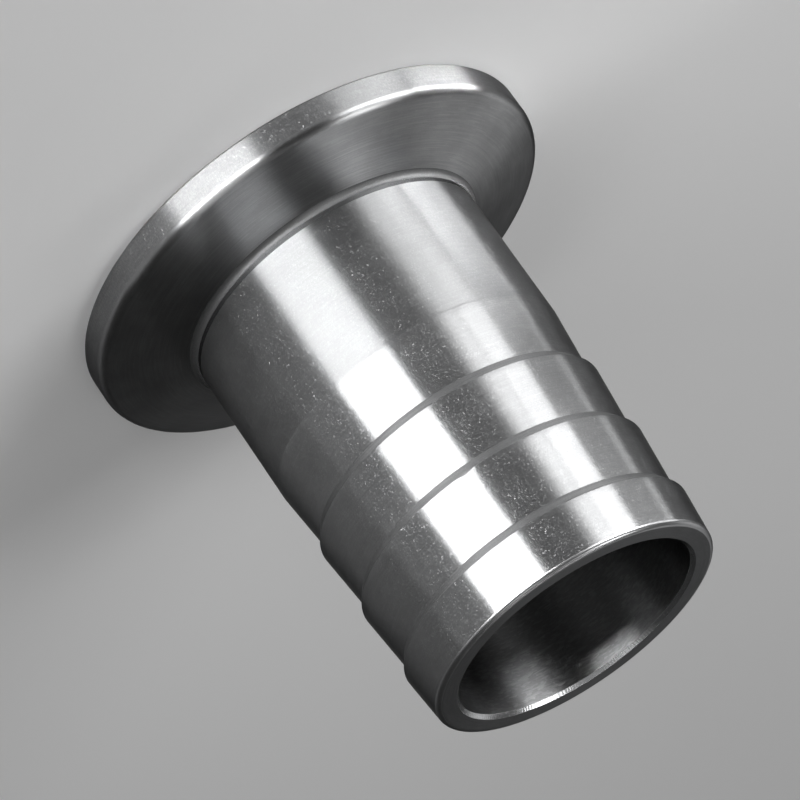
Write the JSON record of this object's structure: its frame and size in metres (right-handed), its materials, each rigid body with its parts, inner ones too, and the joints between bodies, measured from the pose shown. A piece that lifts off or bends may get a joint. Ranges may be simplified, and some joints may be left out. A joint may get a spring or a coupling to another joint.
{
  "type": "kf flange hose adapter",
  "caption": "One-piece turned vacuum hose adapter: small-flange quick-release disc with a clamping cone, straight neck, barbed hose end and a through bore.",
  "frame": {"origin": "centre of the sealing face, on the turning axis, where the part stands", "axes": "+Z along the turning axis, from the flange towards the hose end; X and Y are free, because the part is turned"},
  "size_m": [0.04, 0.04, 0.04],
  "materials": {
    "turned_steel": "bright turned stainless steel with fine circular tool marks"
  },
  "bodies": {
    "root": {"hose_adapter": "turned_steel"}
  },
  "joints": []
}
